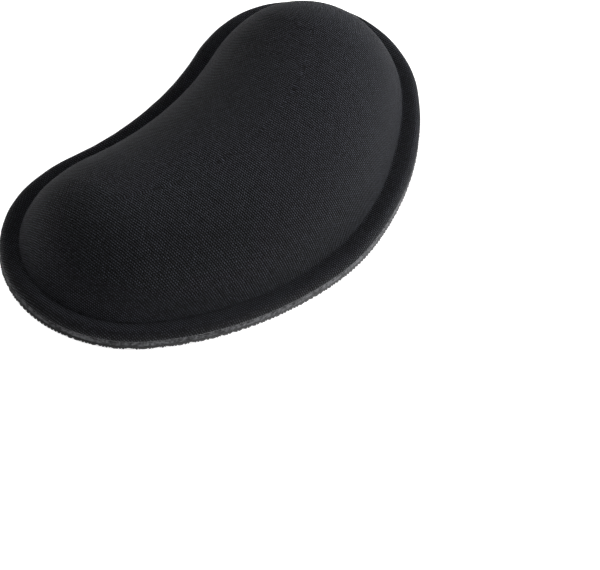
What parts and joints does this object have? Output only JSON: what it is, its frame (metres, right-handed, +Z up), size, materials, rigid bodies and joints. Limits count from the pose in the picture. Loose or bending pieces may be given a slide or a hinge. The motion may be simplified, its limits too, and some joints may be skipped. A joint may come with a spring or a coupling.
{
  "type": "mouse wrist rest",
  "caption": "Kidney-shaped mouse wrist rest: a crowned foam cushion in a stretch-knit cover, with a flat flange all round and an anti-slip sole.",
  "frame": {"origin": "middle of the footprint, on the face that rests on the desk", "axes": "+X along the length, +Y towards the concave waist, +Z up out of the desk"},
  "size_m": [0.14, 0.0786, 0.021],
  "materials": {
    "cover_knit": "matte stretch knit with a fine diagonal rib",
    "foam": null,
    "backing_sponge": "matte closed-cell sponge with a rough cut edge",
    "bond_film": "thin dark hot-melt film",
    "grip_sole": "matte, raised herringbone texture underneath"
  },
  "bodies": {
    "root": {"grip_sole": "grip_sole", "sole_bond_film": "bond_film", "backing_sheet": "backing_sponge", "core_bond_film": "bond_film", "foam_core": "foam", "cover_bond_film": "bond_film", "cover_fabric": "cover_knit"}
  },
  "joints": []
}
